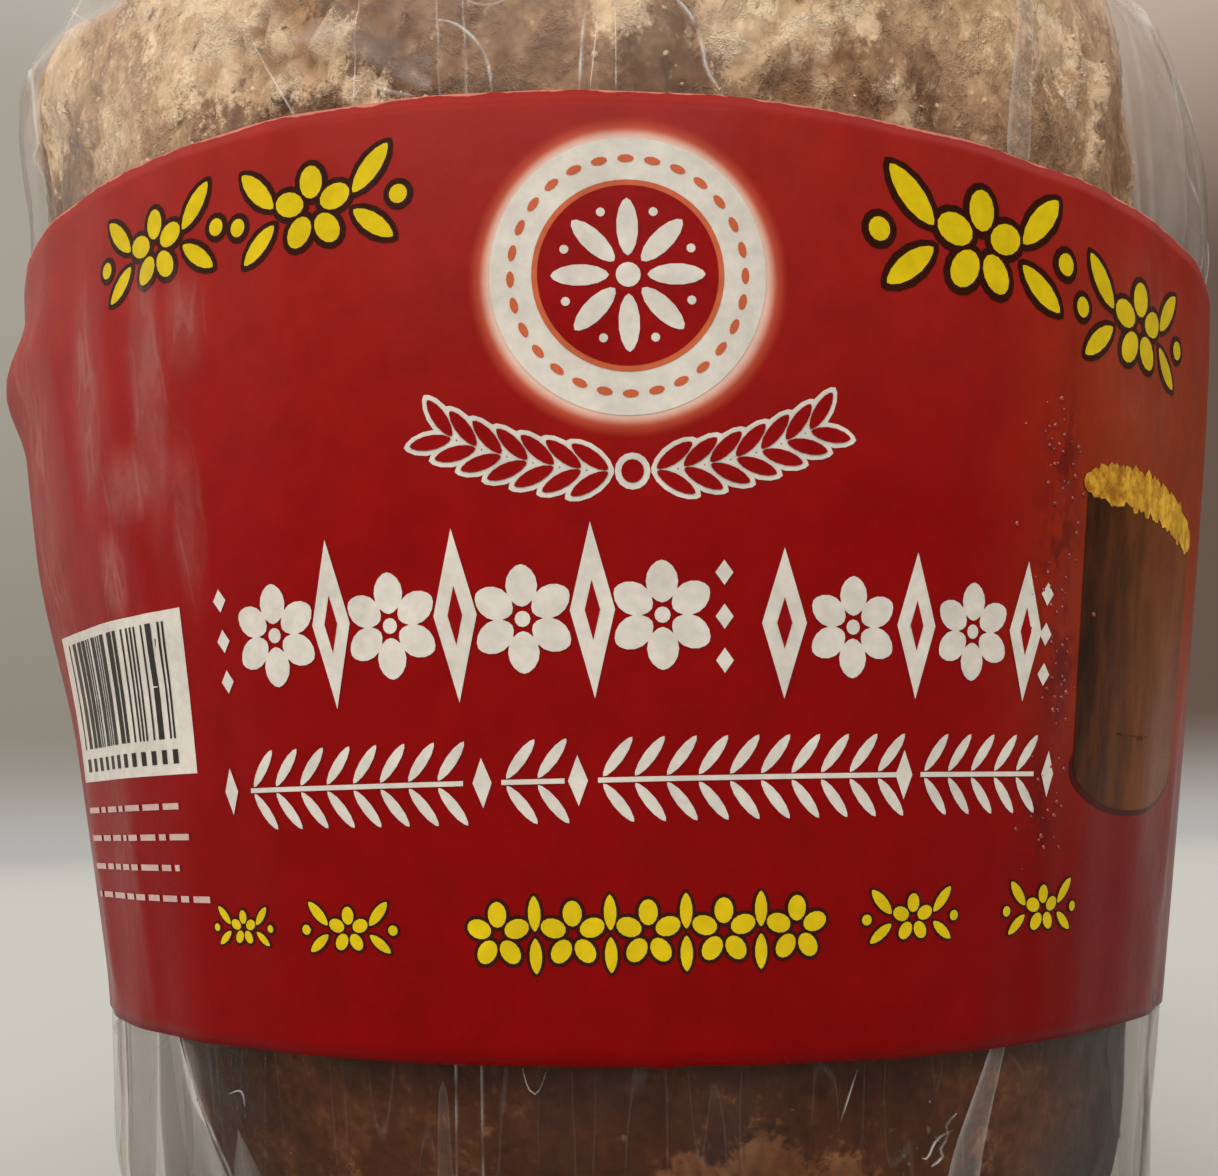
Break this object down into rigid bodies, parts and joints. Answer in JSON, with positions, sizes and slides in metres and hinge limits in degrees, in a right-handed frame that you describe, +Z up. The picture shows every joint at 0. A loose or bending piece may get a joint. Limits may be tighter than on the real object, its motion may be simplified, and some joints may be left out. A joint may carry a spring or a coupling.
{
  "type": "bagged jaggery block",
  "caption": "Bucket-shaped block of brown jaggery in a clear film bag gathered at the top, with a printed label band round its middle.",
  "frame": {"origin": "centre of the flat base that the pack stands on", "axes": "+Z up along the block's axis, from its narrow end to its wide end; -Y out of the front of the label; +X to the right of that front"},
  "size_m": [0.1098, 0.1093, 0.143],
  "materials": {
    "bagged_jaggery": "clear glossy film, lying on crumbly brown sugar",
    "jaggery": "crumbly, matt, frosted with pale sugar",
    "clear_film": "clear glossy film, creased",
    "label_paper": "glossy laminated print, deep red"
  },
  "bodies": {
    "root": {"bagged_block": "bagged_jaggery", "label": "label_paper"}
  },
  "joints": []
}
